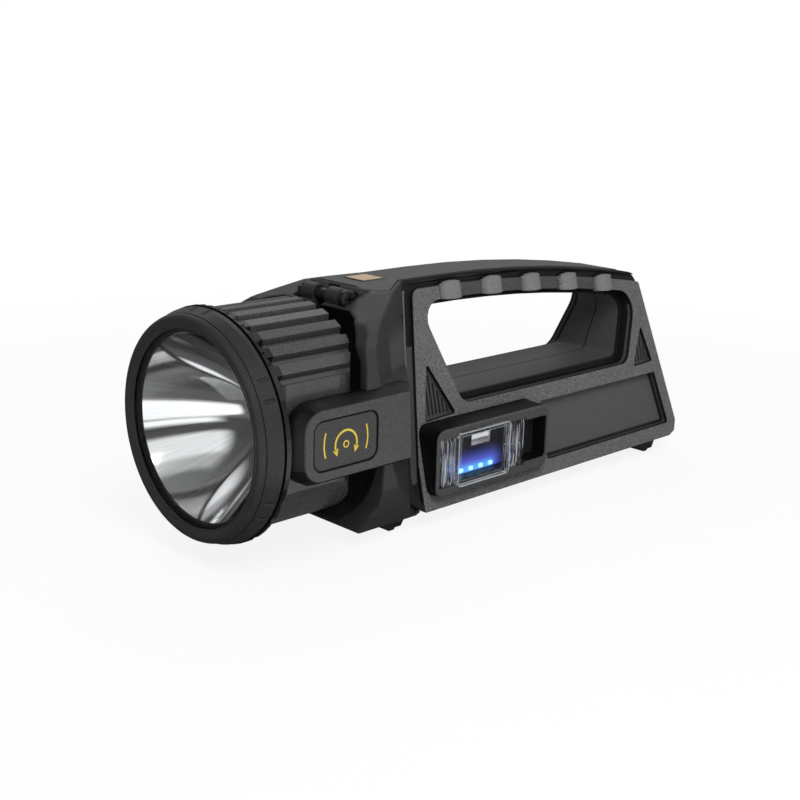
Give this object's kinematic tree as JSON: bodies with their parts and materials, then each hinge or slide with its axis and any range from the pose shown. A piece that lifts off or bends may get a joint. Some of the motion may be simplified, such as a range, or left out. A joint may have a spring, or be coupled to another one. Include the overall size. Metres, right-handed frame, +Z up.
{
  "type": "handheld searchlight",
  "caption": "Handheld searchlight: a round tilting head in a two-armed yoke, on a tapering body with a carrying handle, a power button and a flap over a charging port.",
  "frame": {"origin": "centre of the overall box, on the ground under the feet", "axes": "+X toward the rear of the body, so the lamp shines along -X; +Z up; the port is on the -Y side"},
  "size_m": [0.298, 0.1034, 0.1103],
  "materials": {
    "smooth_black": "smooth moulded black plastic",
    "textured_black": "fine spark-textured dark plastic",
    "clear_plastic": "clear polished",
    "chrome": "mirror-bright reflector",
    "rubber": "matt black rubber",
    "steel": "bright or blackened steel",
    "aluminium": "as cast and machined",
    "bronze": "sintered bronze",
    "amber_plastic": "translucent peach plastic",
    "circuit_board": "solder-masked board",
    "white_plastic": "white plastic",
    "led_dome": "silicone dome over a phosphor",
    "blue_light": "lit blue light guides",
    "cell_sleeve": "shrink sleeve over a metal can"
  },
  "bodies": {
    "body": {"arm_cap_left": "smooth_black", "arm_cap_right": "smooth_black", "battery_cell_1": "cell_sleeve", "battery_cell_2": "cell_sleeve", "battery_cell_3": "cell_sleeve", "battery_cell_4": "cell_sleeve", "battery_holder": "smooth_black", "battery_light_1": "blue_light", "battery_light_2": "blue_light", "battery_light_3": "blue_light", "battery_light_4": "blue_light", "button_switch": "steel", "charge_socket": "steel", "driver_board": "circuit_board", "friction_washer_left": "rubber", "friction_washer_right": "rubber", "front_foot": "rubber", "front_yoke": "smooth_black", "housing_screw_1": "steel", "housing_screw_2": "steel", "housing_screw_3": "steel", "housing_screw_4": "steel", "housing_screw_5": "steel", "label_plate_left": "textured_black", "label_plate_right": "textured_black", "left_housing": "textured_black", "pivot_bush_left": "bronze", "pivot_bush_right": "bronze", "port_board": "circuit_board", "port_frame": "textured_black", "port_panel": "smooth_black", "rear_foot": "rubber", "right_housing": "textured_black", "strap_nut": "steel", "strap_screw": "steel", "switch_board": "circuit_board", "top_cover": "smooth_black", "usb_socket": "steel", "usb_tongue": "white_plastic"},
    "head": {"bezel_ring": "smooth_black", "head_shell": "smooth_black", "heat_sink": "aluminium", "led_board": "aluminium", "led_emitter": "led_dome", "lens": "clear_plastic", "lens_gasket": "clear_plastic", "pivot_pin_left": "steel", "pivot_pin_right": "steel", "pivot_screw_left": "steel", "pivot_screw_right": "steel", "reflector": "chrome"},
    "flap": {"port_flap": "clear_plastic"},
    "button": {"power_button": "amber_plastic"}
  },
  "joints": [
    {"name": "head_tilt", "type": "hinge", "parent": "body", "child": "head", "pos_m": [-0.111, 0, 0.0573], "axis": [0, 1, 0], "range_deg": [-50, 52]},
    {"name": "port_flap_hinge", "type": "hinge", "parent": "body", "child": "flap", "pos_m": [-0.0419, -0.0395, 0.03055], "axis": [0, 0, -1], "range_deg": [0, 95]},
    {"name": "power_button_press", "type": "slide", "parent": "body", "child": "button", "axis": [0, 0, -1], "range_m": [0, 0.0006], "stiffness_N_per_m": 1500, "springref_m": -0.0004}
  ]
}
